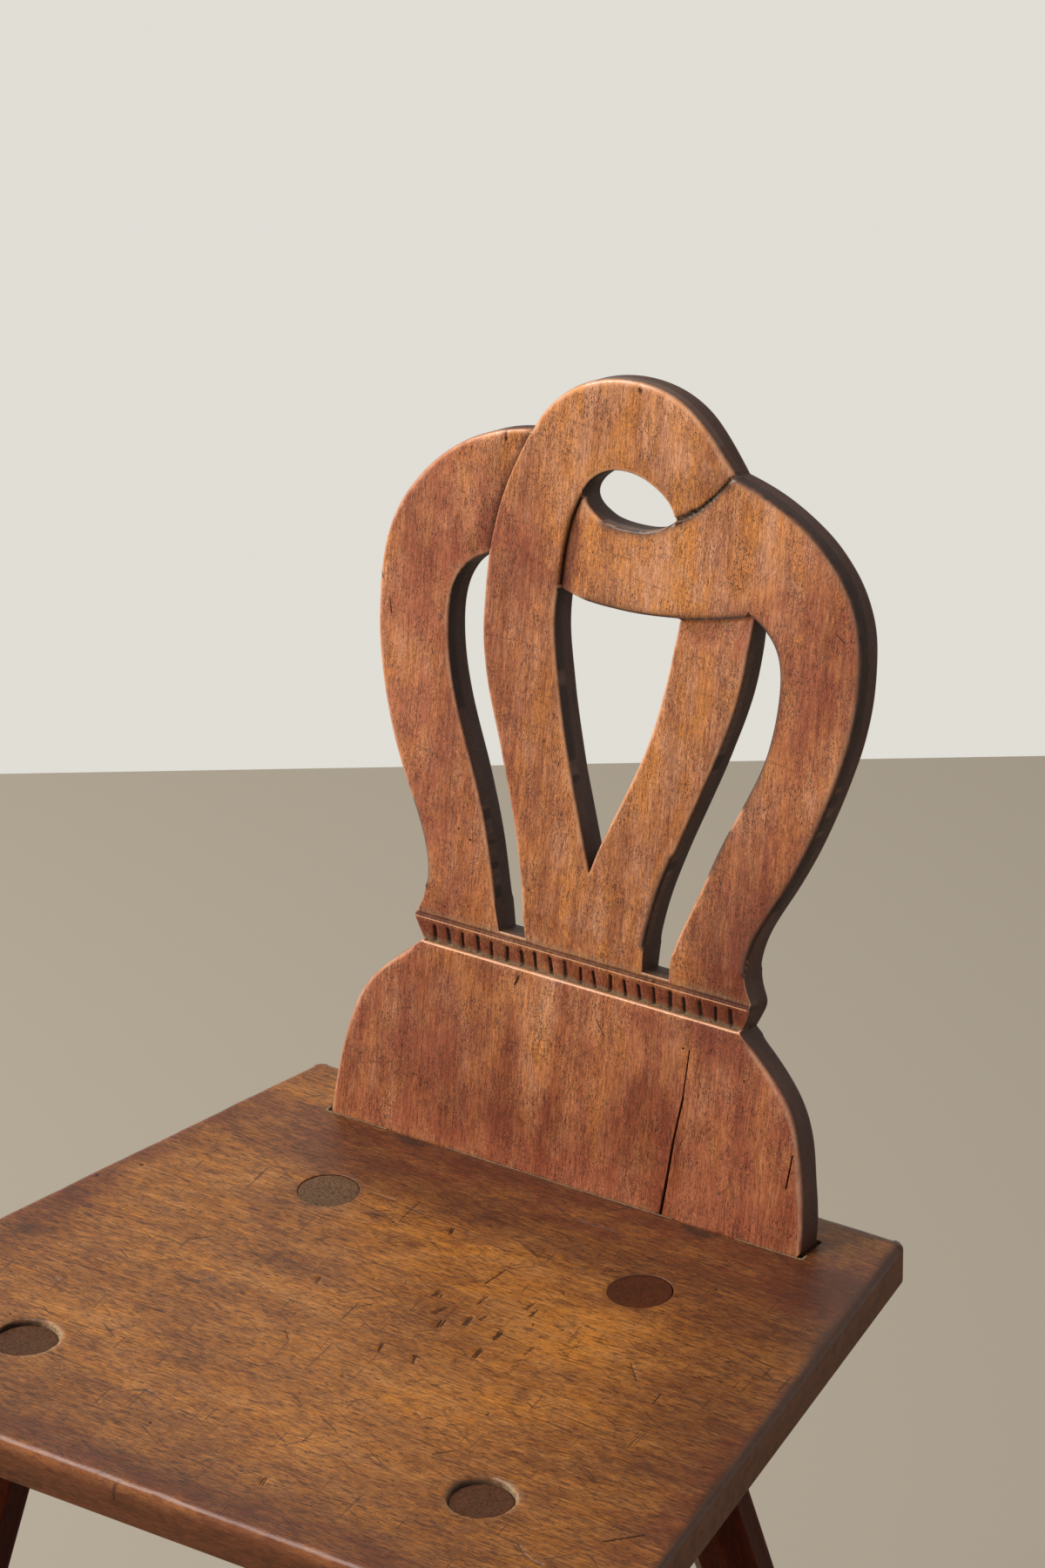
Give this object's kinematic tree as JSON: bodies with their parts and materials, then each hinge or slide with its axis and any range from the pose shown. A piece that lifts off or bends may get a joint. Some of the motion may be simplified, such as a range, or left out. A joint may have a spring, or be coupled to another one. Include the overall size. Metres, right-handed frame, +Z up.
{
  "type": "plank chair",
  "caption": "Wooden plank chair with a trapezoid plank seat, a pierced and carved back of interlaced straps, and splayed staked legs.",
  "frame": {"origin": "on the floor, under the middle of the chair's overall box", "axes": "+X to the right as seen from the front, +Y to the back, +Z up; the front faces -Y"},
  "size_m": [0.4682, 0.4562, 0.8382],
  "materials": {
    "seat": "satin, polished and worn, mottled orange-brown",
    "back": "satin, polished, reddish brown with dark pores",
    "legs": "satin, dark red-brown, worn along the arrises",
    "underside": "matte, unpolished brown"
  },
  "bodies": {
    "root": {"seat_board": "seat", "back_board": "back", "leg_front_left": "legs", "leg_front_right": "legs", "leg_rear_left": "legs", "leg_rear_right": "legs", "batten_left": "underside", "batten_right": "underside", "back_key_left": "underside", "back_key_right": "underside"}
  },
  "joints": []
}
